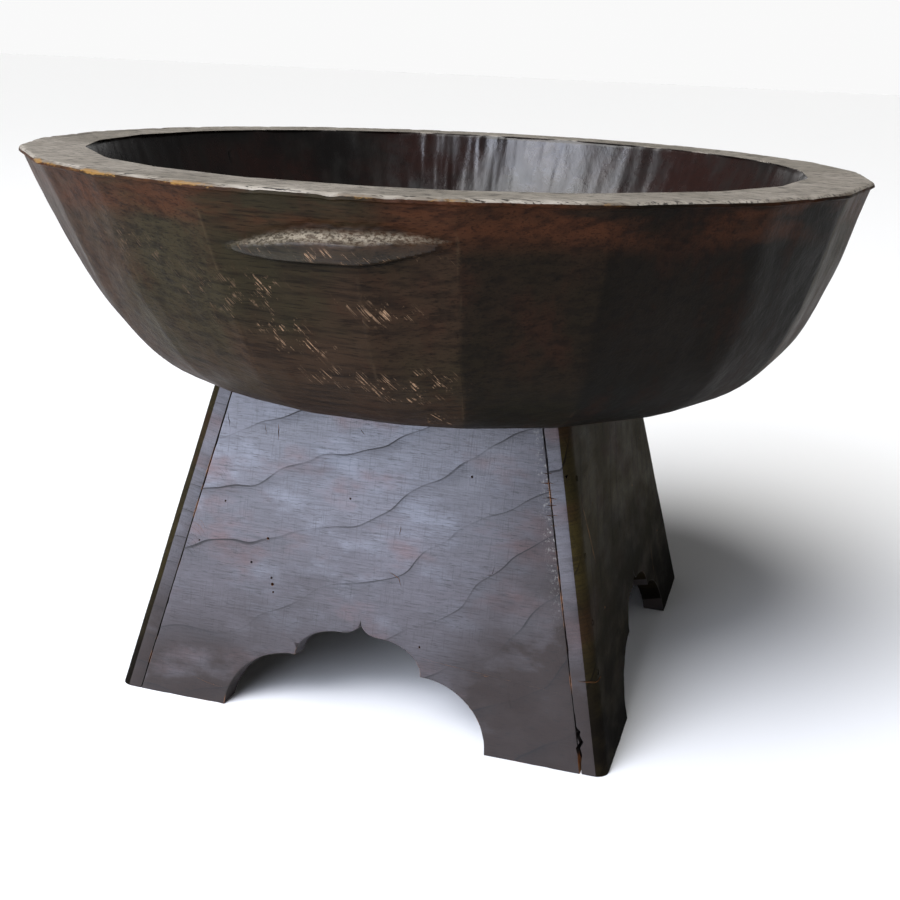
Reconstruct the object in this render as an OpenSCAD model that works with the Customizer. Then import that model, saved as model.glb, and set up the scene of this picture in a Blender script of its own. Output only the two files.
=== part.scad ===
// Hand-carved wooden bowl on a separate four-board stand.
// The bowl is one carved block and rests loosely in the open top of the stand.
// Millimetres, +Z up. The origin is on the floor, in the middle of the stand.
// The front of the stand faces -Y and its right side faces +X.

/* [Bowl] */
// Radius of the rim, out to the ridges between the knife-cut facets
rim_radius = 275; // [240:1:300]
// Width of the flat top of the rim
rim_width = 41; // [32:1:50]
// How far the wall drops from the rim to the nearly flat underside
wall_drop = 138; // [120:1:150]
// Power of the wall curve: higher is steeper with a tighter turn
wall_power = 7.5; // [6:0.1:10]
// Roundness of the wall curve: higher flares the rim and softens the turn
wall_round = 1.25; // [1.1:0.05:1.6]
// Extra drop of the slightly convex underside
belly_drop = 6; // [4:1:20]
// Drift of the hand-cut underside to the right of the rim's centre
drift_x = 16; // [0:1:18]
// Drift of the hand-cut underside to the front of the rim's centre
drift_y = -10; // [-18:1:0]
// Height of the worn bevel around the rim's outer edge
rim_bevel = 3; // [1:0.5:5]
// Thickness of the bowl's floor at its middle
floor_t = 30; // [20:1:40]
// Power of the hollow's curve
hollow_power = 6; // [4:0.5:8]

/* [Grips] */
// Direction of the front grip, in degrees about the bowl's axis
grip_angle = -84.5; // [-95:0.5:-75]
// Length of a grip along the wall
grip_length = 108; // [90:1:130]
// Height of a grip at its middle
grip_height = 15; // [12:1:24]
// How far a grip stands out of the wall
grip_reach = 9; // [5:0.5:12]
// Depth of a grip's middle below the rim
grip_depth = 27; // [22:1:40]

/* [Stand] */
// Width of the stand at the floor
base_width = 330; // [290:1:360]
// Width of the stand at the top
top_width = 235; // [215:1:255]
// Height of the stand
stand_height = 203; // [180:1:230]
// Thickness of the boards
board_t = 15.5; // [12:0.5:20]
// Width of the flat that rounds off each upright corner
corner_flat = 8; // [4:1:10]
// Clear gap between the bowl and the stand that carries it
seat_gap = 0.3; // [0.2:0.05:1]

/* [Cusped arches] */
// Half the width of the arch between the feet
arch_half = 88; // [76:1:96]
// Half the distance between the outer points
outer_point_x = 42; // [36:1:48]
// Height of the outer points
outer_point_z = 40; // [34:1:46]
// Half the distance between the inner points
inner_point_x = 12; // [9:1:15]
// Height of the inner points
inner_point_z = 59; // [54:1:64]
// Height of the pointed top
arch_top_z = 67; // [65:1:75]

/* [Nails] */
// Radius of a nail's shank
nail_r = 1.2; // [0.8:0.1:2]
// Radius of a nail's head
nail_head_r = 2.6; // [2.2:0.1:4]
// Thickness of a nail's head
nail_head_t = 1; // [0.6:0.1:1.5]
// How far a head is sunk below the board's face
nail_sunk = 0.8; // [0.2:0.1:1.5]
// Length of a nail under its head
nail_length = 38; // [30:1:45]

/* [Hidden] */

// Widths of the facets in degrees, anticlockwise from the ridge at FIRST_RIDGE
FACET_SPANS = [15, 17, 11, 16, 21, 16, 18, 15, 17, 19, 14,
               18, 16, 15, 19, 16, 14, 18, 17, 15, 20, 13];
FIRST_RIDGE = -115;
WALL_RINGS = 9;
UNDERSIDE_RINGS = 4;
HOLLOW_STEPS = 14;
HOLLOW_DISH = 6;
// How much nearer the axis the wall is for each millimetre below the rim, at the grips
GRIP_WALL_LEAN = 0.4;

// Heights of the nails in each corner joint, as fractions of the stand's height
NAIL_HEIGHTS = [0.29, 0.43, 0.62, 0.84];
ARC_STEPS = 8;
// Larger than the stand, for the blocks that trim the boards
FAR = 600;
// How far the hollow's mouth and a nail's pocket are cut past the surface
CUT_PAST = 5;
// How far the boards and the arch are drawn past the floor and the top before trimming
TRIM = 20;
// How far a nail's shank runs into its head
EPS = 0.01;

lean = atan((base_width - top_width) / 2 / stand_height);
slant = 1 / cos(lean);
wall_across = board_t * slant;
opening_half = top_width / 2 - wall_across;
hollow_radius = rim_radius - rim_width;
rim_z = stand_height + seat_gap + depth_at((opening_half - drift_x) / rim_radius);
bowl_drop = wall_drop + belly_drop;
hollow_drop = bowl_drop - floor_t - HOLLOW_DISH;

// Depth of the bowl's outside below the rim, at a fraction of the rim's radius
function depth_at(x) =
    wall_drop * pow(1 - pow(x, wall_power), wall_round) + belly_drop * (1 - x * x);

// Depth of the hollow below the rim, at a fraction of the hollow's radius
function hollow_at(x) = hollow_drop * (1 - pow(x, hollow_power)) + HOLLOW_DISH * (1 - x * x);

// Direction of a ridge: the sum of the facets before it
function ridge(i) = i == 0 ? FIRST_RIDGE : ridge(i - 1) + FACET_SPANS[i - 1];

// Fractions of the radius at which the wall and the underside have a ring of points
turn_x = pow(1 / WALL_RINGS, 1 / wall_power);
ring_x = concat(
    [for (k = [0 : WALL_RINGS - 1]) pow(1 - k / WALL_RINGS, 1 / wall_power)],
    [for (k = [1 : UNDERSIDE_RINGS - 1]) turn_x * (1 - k / UNDERSIDE_RINGS)]);

// Each ring as [radius, depth]: the bevelled rim first, then the wall and the underside
rings = concat(
    [[rim_radius - rim_bevel, 0], [rim_radius, rim_bevel]],
    [for (k = [1 : len(ring_x) - 1]) [ring_x[k] * rim_radius, depth_at(ring_x[k])]]);

// The closed outside of the bowl: rings of ridge points joined by flat facets
module bowl_outside() {
    sides = len(FACET_SPANS);
    count = len(rings);
    ring_points = [for (ring = rings) for (i = [0 : sides - 1])
        [ring[0] * cos(ridge(i)) + drift_x * ring[1] / bowl_drop,
         ring[0] * sin(ridge(i)) + drift_y * ring[1] / bowl_drop,
         rim_z - ring[1]]];
    middle = [drift_x, drift_y, rim_z - bowl_drop];
    bands = [for (r = [0 : count - 2]) for (i = [0 : sides - 1])
        let (next = (i + 1) % sides)
        [r * sides + i, r * sides + next, (r + 1) * sides + next, (r + 1) * sides + i]];
    underside = [for (i = [0 : sides - 1])
        [(count - 1) * sides + i, (count - 1) * sides + (i + 1) % sides, count * sides]];
    top = [[for (i = [sides - 1 : -1 : 0]) i]];
    polyhedron(concat(ring_points, [middle]), concat(top, bands, underside), convexity = 4);
}

// The round hollow, with its mouth carried a little above the rim
module bowl_hollow() {
    curve = [for (k = [0 : HOLLOW_STEPS])
        let (x = pow(k / HOLLOW_STEPS, 1 / 3))
        [hollow_radius * x, rim_z - hollow_at(x)]];
    rotate_extrude($fn = 96)
        polygon(concat(curve, [[hollow_radius, rim_z + CUT_PAST], [0, rim_z + CUT_PAST]]));
}

// One lens-shaped grip, left standing proud of the wall just under the rim
module grip(angle) {
    half = grip_length / 2;
    wall_r = rim_radius - grip_depth * GRIP_WALL_LEAN;
    bulge = wall_r - sqrt(wall_r * wall_r - half * half) + grip_reach;
    plan_r = (half * half + bulge * bulge) / (2 * bulge);
    lens_r = (half * half + grip_height * grip_height / 4) / grip_height;
    rotate([0, 0, angle])
        translate([wall_r + grip_reach - plan_r, 0, rim_z - grip_depth])
            intersection() {
                cylinder(r = plan_r, h = grip_height, center = true, $fn = 96);
                intersection_for(side = [-1, 1])
                    translate([0, 0, side * (lens_r - grip_height / 2)])
                        rotate([0, 90, 0])
                            cylinder(r = lens_r, h = 3 * plan_r, center = true, $fn = 96);
            }
}

module bowl() {
    color("#3a2319")
        difference() {
            union() {
                bowl_outside();
                grip(grip_angle);
                grip(grip_angle + 180);
            }
            bowl_hollow();
        }
}

// Places its children on a side of the stand: X along the board, Y up its slope and
// Z out of its face. Side 0 is the front, and the others follow anticlockwise.
module on_side(side) {
    rotate([0, 0, 90 * side])
        translate([0, -base_width / 2, 0])
            rotate([90 - lean, 0, 0])
                children();
}

// Half of the stand's outer width at a height
function half_at(z) = base_width / 2 - z * tan(lean);

// A quarter of an ellipse about a centre, from one angle towards the next
function quarter(cx, cz, a, b, from, to) =
    [for (k = [0 : ARC_STEPS]) let (t = from + (to - from) * k / ARC_STEPS)
        [cx + a * cos(t), (cz + b * sin(t)) * slant]];

// Right half of the arch, from the foot up to the pointed top
arch_half_outline = concat(
    quarter(outer_point_x, 0, arch_half - outer_point_x, outer_point_z, 0, 90),
    quarter(inner_point_x, outer_point_z, outer_point_x - inner_point_x,
            inner_point_z - outer_point_z, 0, 90),
    quarter(inner_point_x, arch_top_z, inner_point_x, arch_top_z - inner_point_z, 270, 180));

// The whole cusped arch, drawn down past the floor
module arch() {
    count = len(arch_half_outline);
    right = [[arch_half, -TRIM], for (p = arch_half_outline) p];
    left = [for (k = [count - 1 : -1 : 0]) [-arch_half_outline[k][0], arch_half_outline[k][1]]];
    polygon(concat(right, [for (k = [1 : count - 1]) left[k]], [[-arch_half, -TRIM]]));
}

// Everything outside the plane of a side's face, moved in by a depth
module outside_of(side, depth) {
    on_side(side)
        translate([-FAR / 2, -FAR / 2, -depth])
            cube(FAR);
}

// What lies beyond the flat that takes off the upright corner before a side
module beyond_corner(side) {
    for (end = [0, 1])
        rotate([0, 0, 90 * side + 90 * end - 45])
            translate([0, -base_width / 2 * sqrt(2) + corner_flat / 2, 0])
                rotate([90 - atan(tan(lean) * sqrt(2)), 0, 0])
                    translate([-FAR / 2, -FAR / 2, 0])
                        cube(FAR);
}

// A raw board: the slab with its arch, cut level at the floor and at the top
module raw_board(side) {
    intersection() {
        on_side(side)
            translate([0, 0, -board_t])
                linear_extrude(board_t)
                    difference() {
                        translate([-base_width / 2, -TRIM])
                            square([base_width, stand_height * slant + 2 * TRIM]);
                        arch();
                    }
        translate([-FAR / 2, -FAR / 2, 0])
            cube([FAR, FAR, stand_height]);
    }
}

// A front or back board, whose ends stop against the side boards
module end_board(side) {
    color("#3b322f")
        difference() {
            raw_board(side);
            outside_of(side + 1, board_t);
            outside_of(side + 3, board_t);
            corner_nails(side, 1);
            corner_nails(side, -1);
        }
}

// A side board, which covers the ends of the front and back boards
module side_board(side) {
    color("#38291f")
        difference() {
            raw_board(side);
            outside_of(side + 1, 0);
            outside_of(side + 3, 0);
            beyond_corner(side);
            corner_nails(side + 1, -1);
            corner_nails(side - 1, 1);
        }
}

// One nail, driven square into a side board: its head is at the top of a pocket
module nail(with_pocket) {
    translate([0, 0, -nail_sunk - nail_head_t - nail_length])
        cylinder(r = nail_r, h = nail_length + EPS, $fn = 24);
    translate([0, 0, -nail_sunk - nail_head_t])
        cylinder(r = nail_head_r, h = nail_head_t + (with_pocket ? CUT_PAST : 0), $fn = 24);
}

// The nails of one corner, through the side board into the end of board end_side.
// hand is 1 for the corner at that board's right end, and -1 for its left end.
module corner_nails(end_side, hand, with_pocket = true) {
    for (fraction = NAIL_HEIGHTS) {
        z = fraction * stand_height;
        on_side(end_side + hand)
            translate([-hand * (half_at(z) - wall_across / 2), z * slant, 0])
                nail(with_pocket);
    }
}

module front_board() { end_board(0); }
module right_board() { side_board(1); }
module back_board() { end_board(2); }
module left_board() { side_board(3); }

module front_right_nails() { color("#2b2624") corner_nails(0, 1, false); }
module back_right_nails() { color("#2b2624") corner_nails(2, -1, false); }
module back_left_nails() { color("#2b2624") corner_nails(2, 1, false); }
module front_left_nails() { color("#2b2624") corner_nails(0, -1, false); }

bowl();
front_board();
right_board();
back_board();
left_board();
front_right_nails();
back_right_nails();
back_left_nails();
front_left_nails();
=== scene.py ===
# %% [markdown]
# # A carved wooden bowl on a four-board stand
# The bowl is cut from one block of dark hardwood and sits loosely in the open top of a
# stand, which is nailed together from four tapered boards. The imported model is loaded
# first as a fixed frame, and every piece below is made in that same frame.

# %% Load the frame
import math
import random

import bmesh
import bpy
from mathutils import Matrix, Vector, noise


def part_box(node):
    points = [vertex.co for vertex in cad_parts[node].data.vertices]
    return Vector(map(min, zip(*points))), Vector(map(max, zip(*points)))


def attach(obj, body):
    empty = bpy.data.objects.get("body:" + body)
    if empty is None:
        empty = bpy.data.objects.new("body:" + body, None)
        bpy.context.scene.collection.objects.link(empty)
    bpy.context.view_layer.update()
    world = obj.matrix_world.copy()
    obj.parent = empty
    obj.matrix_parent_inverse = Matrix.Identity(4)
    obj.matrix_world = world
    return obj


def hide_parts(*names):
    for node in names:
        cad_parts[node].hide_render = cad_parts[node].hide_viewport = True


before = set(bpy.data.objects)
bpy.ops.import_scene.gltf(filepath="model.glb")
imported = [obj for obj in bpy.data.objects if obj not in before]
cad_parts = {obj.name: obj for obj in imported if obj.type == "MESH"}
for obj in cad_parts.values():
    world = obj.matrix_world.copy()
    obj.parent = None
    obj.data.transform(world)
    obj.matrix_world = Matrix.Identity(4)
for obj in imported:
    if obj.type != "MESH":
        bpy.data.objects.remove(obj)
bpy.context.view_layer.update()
MM = 0.001

# %% [markdown]
# ## Camera
# A camera stands a little above the rim, to the right of the middle, and looks slightly
# down. It is turned about the upright axis, tipped down, and rolled a little, and the
# three turns are multiplied in that order.

# %% Camera
CAMERA_PLACE = (0.2489, -0.8121, 0.4084)
CAMERA_TURN = math.radians(15.973)
CAMERA_TIP = math.radians(-17.643)
CAMERA_ROLL = math.radians(2.471)
CAMERA_LENS, CAMERA_SHIFT = 49.31, -0.0094

camera = bpy.data.objects.new("camera", bpy.data.cameras.new("camera"))
bpy.context.scene.collection.objects.link(camera)
camera.matrix_world = (Matrix.Translation(CAMERA_PLACE) @ Matrix.Rotation(CAMERA_TURN, 4, "Z")
                       @ Matrix.Rotation(math.pi / 2 + CAMERA_TIP, 4, "X")
                       @ Matrix.Rotation(CAMERA_ROLL, 4, "Z"))
camera.data.lens, camera.data.shift_x = CAMERA_LENS, CAMERA_SHIFT
bpy.context.scene.camera = camera
print("camera at", CAMERA_PLACE, "lens", CAMERA_LENS)

# %% [markdown]
# ## Helpers
# A colour is written as the hex value that a screen shows, and one function turns it to
# the linear value that a shader needs. One function adds a node from the list of nodes
# below, with its settings and links. One finishes a mesh: it gives it materials, smooth
# faces with sharp edges kept, and hands it to the frame.

# %% Helpers
# Each node that the finishes use: its kind, its settings, the sockets filled in order,
# and the output that is used.
NODES = {
    "mix": ("Mix", {"data_type": "RGBA"}, (0, 6, 7), 2),
    "step": ("MapRange", {"interpolation_type": "SMOOTHSTEP"}, (0, 1, 2, 3, 4), 0),
    "add": ("Math", {"operation": "ADD"}, (0, 1), 0),
    "subtract": ("Math", {"operation": "SUBTRACT"}, (0, 1), 0),
    "multiply": ("Math", {"operation": "MULTIPLY"}, (0, 1), 0),
    "larger": ("Math", {"operation": "MAXIMUM"}, (0, 1), 0),
    "size": ("Math", {"operation": "ABSOLUTE"}, (0,), 0),
    "place": ("TexCoord", {}, (), "Object"),
    "direction": ("TexCoord", {}, (), "Generated"),
    "board place": ("Attribute", {"attribute_name": "board_axes"}, (), "Vector"),
    "x": ("SeparateXYZ", {}, (0,), 0),
    "y": ("SeparateXYZ", {}, (0,), 1),
    "z": ("SeparateXYZ", {}, (0,), 2),
    "upward": ("CombineXYZ", {}, (1,), 0),
    "scaled": ("Mapping", {}, ("Vector", "Scale"), 0),
    "turned": ("VectorRotate", {"rotation_type": "Y_AXIS"}, ("Vector", "Angle"), 0),
    "noise": ("TexNoise", {}, ("Vector", "Scale", "Detail", "Roughness"), 0),
    "rings": ("TexWave", {"bands_direction": "Y", "wave_profile": "SAW"},
              ("Vector", "Scale", "Distortion"), "Fac"),
    "bump": ("Bump", {}, ("Height", "Distance", "Normal"), 0),
}


def linear(colour):
    """A screen colour such as '#3a2319' as the linear colour that shaders use."""
    parts = [int(colour[i:i + 2], 16) / 255 for i in (1, 3, 5)]
    return (*[p / 12.92 if p <= 0.04045 else ((p + 0.055) / 1.055) ** 2.4 for p in parts], 1)


def add_node(tree, name, *values, **settings):
    """Adds a node listed in NODES, with its settings, and fills its sockets in order with
    numbers, colours or other nodes' outputs. Gives back the output that is used."""
    kind, fixed, sockets, output = NODES[name]
    made = tree.nodes.new("ShaderNode" + kind)
    for setting, value in {**fixed, **settings}.items():
        setattr(made, setting, value)
    for socket, value in zip(sockets, values):
        if isinstance(value, bpy.types.NodeSocket):
            tree.links.new(value, made.inputs[socket])
        else:
            made.inputs[socket].default_value = linear(value) if isinstance(value, str) else value
    return made.outputs[output]


def new_material(name):
    """A new material, its node tree and its shader node."""
    material = bpy.data.materials.new(name)
    material.use_nodes = True
    tree = material.node_tree
    return material, tree, tree.nodes["Principled BSDF"]


def streaks(tree, coords, scale, detail=3, rough=0.55):
    """Noise on coordinates scaled along three axes."""
    return add_node(tree, "noise", add_node(tree, "scaled", coords, scale), 1, detail, rough)


def finish_piece(bm, name, materials, body, nodes, sharp=35):
    """Turns a bmesh into a finished piece that rides on a body in place of CAD nodes."""
    mesh = bpy.data.meshes.new(name)
    bm.to_mesh(mesh)
    bm.free()
    piece = bpy.data.objects.new(name, mesh)
    bpy.context.scene.collection.objects.link(piece)
    for material in materials:
        mesh.materials.append(material)
    mesh.shade_smooth()
    mesh.set_sharp_from_angle(angle=math.radians(sharp))
    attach(piece, body)
    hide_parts(*nodes)
    print(name, len(mesh.vertices), "vertices,", len(mesh.polygons), "faces")
    return piece


def set_attribute(mesh, name, values):
    """Stores one number for each vertex, for a material to read."""
    mesh.attributes.new(name, "FLOAT", "POINT").data.foreach_set("value", values)


# %% [markdown]
# ## The bowl's shape
# The bowl is hewn outside with a straight blade, which leaves about twenty upright facets,
# and hollowed inside with a gouge. Half of its section is drawn as a line of points from
# the middle of the underside, out over the wall and the rim, and down into the hollow. The
# line is spun about the axis, and then each vertex is moved as the tools moved the wood.

# %% The bowl's section
RIM_R, RIM_WIDTH, RIM_BEVEL = 275, 41, 3
HOLLOW_R = RIM_R - RIM_WIDTH
WALL_DROP, WALL_POWER, WALL_ROUND, BELLY_DROP = 138, 7.5, 1.25, 6
BOWL_DROP = WALL_DROP + BELLY_DROP
HOLLOW_DROP, HOLLOW_DISH, HOLLOW_POWER = 108, 6, 6
DRIFT_X, DRIFT_Y = 16, -10
rim_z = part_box("bowl")[1].z / MM


def outside_depth(radius):
    x = radius / RIM_R
    return WALL_DROP * (1 - x ** WALL_POWER) ** WALL_ROUND + BELLY_DROP * (1 - x * x)


def hollow_depth(radius):
    x = radius / HOLLOW_R
    return HOLLOW_DROP * (1 - x ** HOLLOW_POWER) + HOLLOW_DISH * (1 - x * x)


def radius_at(curve, full, depth):
    """Radius at which a curve reaches a depth, found by halving."""
    low, high = 0, full
    for _ in range(40):
        middle = (low + high) / 2
        low, high = (middle, high) if curve(middle) > depth else (low, middle)
    return low


def section():
    """Radius and depth of each point of the bowl's half section."""
    points = [(radius, outside_depth(radius)) for radius in range(0, 196, 13)]
    depths = [*range(124, 44, -4), *range(43, 11, -1), 10.5, 9, 7.5, 6, 5, 4]
    points += [(radius_at(outside_depth, RIM_R, depth), depth) for depth in depths]
    for k in range(7):
        turn = math.pi / 2 * k / 6
        points.append((RIM_R - RIM_BEVEL * (1 - math.cos(turn)), RIM_BEVEL * (1 - math.sin(turn))))
    points += [(radius, 0) for radius in (270.5, 268.5, 266, 262, 257, 252, 247, 242, 238.5, 236.5)]
    points += [(235.2, 0.3), (234.3, 0.9)]
    depths = [2, 3.5, 5.5, 8, 11, 14, 17, 20, 24, 28, 32, 37, 42, 48, 54, 60, 67, 74, 81, 87]
    points += [(radius_at(hollow_depth, HOLLOW_R, depth), depth) for depth in depths]
    return points + [(radius, hollow_depth(radius)) for radius in range(172, -1, -14)] + [
        (0, hollow_depth(0))]


# %% [markdown]
# ## Facets
# The facets differ in width. Columns of vertices are shared out so that a ridge always
# falls on a column, and the two facets under each grip have twice as many. A chord across
# each facet makes it flat, and the ridges are rounded, since the edge has worn.

# %% Facets
FACETS = [15, 17, 11, 16, 21, 16, 18, 15, 17, 19, 14, 18, 16, 15, 19, 16, 14, 18, 17, 15, 20, 13]
FIRST_RIDGE = -115
RIDGE_SOFT = 7
FINE_FACETS, FINE_COLUMNS, PLAIN_COLUMNS = (1, 2, 12, 13), 48, 23
columns = []
for number, span in enumerate(FACETS):
    count = FINE_COLUMNS if number in FINE_FACETS else PLAIN_COLUMNS
    start = FIRST_RIDGE + sum(FACETS[:number])
    columns += [(number, k / count, math.radians(start + span * k / count)) for k in range(count)]
print("facets:", len(FACETS), "columns:", len(columns))


def wear_noise(*place):
    return noise.noise(Vector(place))


def chord(number, part, radius):
    """How far a facet lies inside the circle through its ridges, as a factor."""
    span = math.radians(FACETS[number])
    flat = math.cos(span / 2) / math.cos((part - 0.5) * span)
    soft = RIDGE_SOFT * radius / RIM_R
    near = min(part, 1 - part) * span * radius
    if near < soft:
        flat -= math.tan(span / 2) * (soft - near) ** 2 / (2 * soft) / max(radius, 1)
    return flat


# %% [markdown]
# ## Grips
# Two grips were left standing on the wall when the rest was hewn away, one on each side.
# Each is a ledge that slopes out from the wall, a rounded face under it and an undercut
# for the fingers. The ledge is end grain that tore, so it is rough. A grip is a height
# added to the wall, worked out from a place along the grip and a depth below the rim.

# %% Grips
GRIP_ANGLES = (-85, 95)
GRIP_HALF, GRIP_REACH, GRIP_DEPTH, GRIP_HEIGHT = 60, 8.5, 26.5, 16
LEDGE_TOP, FACE_TOP, FACE_FOOT, UNDERCUT_FOOT = -1, -0.2, 0.93, 1.12
GROOVE_TOP = -1.45


def grip_middle(arc):
    """Depth below the rim of the middle of a grip, at a place along it."""
    return GRIP_DEPTH + 1.2 * wear_noise(arc / 30, 5, 0) - 4.5 * arc / GRIP_HALF


def grip_half_height(along):
    """Half the height of a grip, at a share of its half length."""
    return GRIP_HEIGHT / 2 * (1 - along ** 2.2) + 0.6


def rough_ledge(arc, depth):
    """The torn, dry surface of a grip's ledge."""
    return 1.1 * wear_noise(arc / 5, depth / 2.6, 33) + 0.7 * wear_noise(arc / 2.4, depth / 1.6, 34)


def grip_reach(arc, depth):
    """How far a grip stands out: a groove, a sloping ledge, a face and an undercut."""
    along = abs(arc) / GRIP_HALF
    if along >= 1:
        return 0
    down = (depth - grip_middle(arc)) / grip_half_height(along)
    if down < -0.5:
        down += 0.3 * wear_noise(arc / 7, 1, 35)
    reach = GRIP_REACH * (1 - along ** 2.4) ** 0.8
    chatter = 0.25 * wear_noise(arc / 1.6, depth / 9, 3)
    if down < GROOVE_TOP or down > UNDERCUT_FOOT:
        return 0
    if down < LEDGE_TOP:
        share = (down - GROOVE_TOP) / (LEDGE_TOP - GROOVE_TOP)
        return -1.1 * math.sin(share * math.pi) * (1 - along)
    if down < FACE_TOP:
        ramp = (down - LEDGE_TOP) / (FACE_TOP - LEDGE_TOP)
        tear = max(0, 1 - abs(arc - 13) / 5) * max(0, 1 - abs(down + 0.45) / 0.25)
        return reach * ramp ** 0.8 - 2.4 * tear + rough_ledge(arc, depth) * (1 - along)
    if down < FACE_FOOT:
        return reach * (1 - 0.25 * ((down - 0.1) / (FACE_FOOT - 0.1)) ** 2) + chatter
    return reach * 0.75 * (UNDERCUT_FOOT - down) / (UNDERCUT_FOOT - FACE_FOOT)


# %% [markdown]
# ## Where the tools left the wood
# The blade left the outside a little fuller on one side and flatter on another, and the
# rim's edge has chipped. The gouge left soft ripples in the hollow, and a short crack runs
# down from the lip of the far wall. Each is a small move of a point, from smooth noise.

# %% Carved surfaces
CRACK_ANGLE, CRACK_TOP, CRACK_FOOT = 156, 14, 27


def lobe(angle, middle, width):
    """A smooth rise and fall with direction, in degrees about the axis."""
    away = ((math.degrees(angle) - middle + 180) % 360 - 180) / width
    return math.exp(-away * away)


def carved_outside(radius, depth, number, part, angle):
    """Where the blade left a point of the outside: radius, depth and angle."""
    wall = min(1, max(0, (BOWL_DROP - 8 - depth) / 30))
    fuller = 3.4 * lobe(angle, -55, 60) * math.exp(-((depth - 108) / 26) ** 2)
    narrower = 4.2 * lobe(angle, 178, 34) * wall
    angle += math.radians(0.9) * wear_noise(number * 3.7, depth / 55, 0) * wall
    hewn = 0.9 * wear_noise(angle * 5, depth / 34, number * 0.31)
    hewn += 0.25 * wear_noise(angle * 26, depth / 12, 9)
    moved = radius * chord(number, part, radius) + fuller - narrower + wall * hewn
    if depth < 9 and radius > RIM_R - 8:
        edge = 1 - min(1, math.hypot(depth - 1, (RIM_R - radius)) / 9)
        chip = max(0, wear_noise(angle * 20, 3, depth / 40) - 0.08) * 2.0
        chip += max(0, wear_noise(angle * 75, depth / 6, 7)) * 0.5
        moved -= chip * edge
        depth += chip * edge * 0.7
    for grip in GRIP_ANGLES:
        arc = (angle - math.radians(grip) + math.pi) % (2 * math.pi) - math.pi
        moved += grip_reach(arc * radius, depth)
    return moved, depth, angle


def lip_wander(angle):
    """How far the hollow's lip wanders in and out."""
    return 0.8 * wear_noise(angle * 7, 50, 0) + 0.4 * wear_noise(angle * 31, 51, 0)


def carved_hollow(radius, depth, angle):
    """Where the gouge left a point of the hollow."""
    steep = (radius / HOLLOW_R) ** 2
    ripple = 0.55 * wear_noise(angle * 9, depth / 60, 20)
    ripple += 0.32 * wear_noise(angle * 27, depth / 45, 30)
    ripple += 0.16 * wear_noise(angle * 70, depth / 30, 40)
    lip = lip_wander(angle)
    floor = 0.7 * wear_noise(radius * math.cos(angle) / 28, radius * math.sin(angle) / 28, 60)
    open_here = CRACK_TOP < depth < CRACK_FOOT
    crack = 3 * max(0, lobe(angle, CRACK_ANGLE, 0.5) - 0.3) if open_here else 0
    return radius + (ripple * 1.6 + lip) * steep + crack, depth + floor * (1 - steep)


# %% [markdown]
# ## Spin the section and carve it
# The half section is spun about the axis with a column of vertices for each step. Faces
# get the number of their finish, and then every vertex is moved to where the tools left
# it. The wall's foot also drifts a little sideways, because the bowl was hewn by eye.

# %% Spin and carve
WALL, RIM_TOP, HOLLOW, GRIP_FACE = range(4)
LIP_DEPTH, HOLLOW_REACH, TINY = 1.2, 12, 1e-3
bm = bmesh.new()
line = section()
verts = [bm.verts.new((radius, 0, -depth)) for radius, depth in line]
edges = [bm.edges.new(pair) for pair in zip(verts, verts[1:])]
bmesh.ops.spin(bm, geom=verts + edges, cent=(0, 0, 0), axis=(0, 0, 1), angle=2 * math.pi,
               steps=len(columns), use_merge=True)
bmesh.ops.remove_doubles(bm, verts=bm.verts[:], dist=1e-4)
bmesh.ops.recalc_face_normals(bm, faces=bm.faces[:])
for face in bm.faces:
    middle = face.calc_center_median()
    out = math.hypot(middle.x, middle.y)
    if middle.z > -RIM_BEVEL and out > HOLLOW_R:
        face.material_index = RIM_TOP if middle.z > -LIP_DEPTH else WALL
    elif out < HOLLOW_R and -middle.z < hollow_depth(out) + HOLLOW_REACH:
        face.material_index = HOLLOW
for vert in bm.verts:
    radius, depth = math.hypot(vert.co.x, vert.co.y), -vert.co.z
    if radius < TINY:
        place = (0, 0) if depth < BOWL_DROP - 1 else (DRIFT_X, DRIFT_Y)
        vert.co = Vector((*place, rim_z - depth)) * MM
        continue
    turn = math.atan2(vert.co.y, vert.co.x) % (2 * math.pi)
    number, part, angle = columns[round(turn / (2 * math.pi) * len(columns)) % len(columns)]
    if radius < HOLLOW_R + 0.5 and depth < hollow_depth(min(radius, HOLLOW_R)) + HOLLOW_REACH:
        radius, depth = carved_hollow(radius, depth, angle)
        drift = 0
    elif depth < TINY and radius < RIM_R - 12:
        share = (radius - HOLLOW_R) / RIM_WIDTH
        flat = 1 + (chord(number, part, radius) - 1) * share
        radius = (radius + lip_wander(angle) * (1 - share)) * flat
        depth = 0.25 + 0.35 * wear_noise(angle * 6, share * 2, 70)
        drift = 0
    else:
        radius, depth, angle = carved_outside(radius, depth, number, part, angle)
        drift = max(0, depth) / BOWL_DROP
    vert.co = Vector((radius * math.cos(angle) + DRIFT_X * drift,
                      radius * math.sin(angle) + DRIFT_Y * drift,
                      rim_z - max(0, depth))) * MM
bowl_bm = bm
print("bowl faces:", len(bm.faces))

# %% [markdown]
# ## The boards' shape
# Each side of the stand is a board that leans in and tapers upwards, with a cusped arch
# sawn out between its feet. The arch is drawn from quarters of ellipses: a point is spun
# about the origin and the arc is stretched. The outline is mirrored, filled and extruded.

# %% Board outline
BASE_HALF, TOP_HALF, STAND_Z, BOARD_T = 165, 117.5, 203, 15.5
LEAN = math.atan((BASE_HALF - TOP_HALF) / STAND_Z)
SLANT = 1 / math.cos(LEAN)
WALL_ACROSS = BOARD_T * SLANT
JOINT_GAP = 0.25
QUARTER = math.pi / 2
ARCH_ARCS = [((42, 0), (46, 40), 0, QUARTER, 16), ((12, 40), (30, 19), 0, QUARTER, 12),
             ((12, 67), (12, 8), 3 * QUARTER, -QUARTER, 6)]
ARCH_FOOT = 88


def half_at(height):
    """Half the stand's width at a height."""
    return BASE_HALF - height * math.tan(LEAN)


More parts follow.
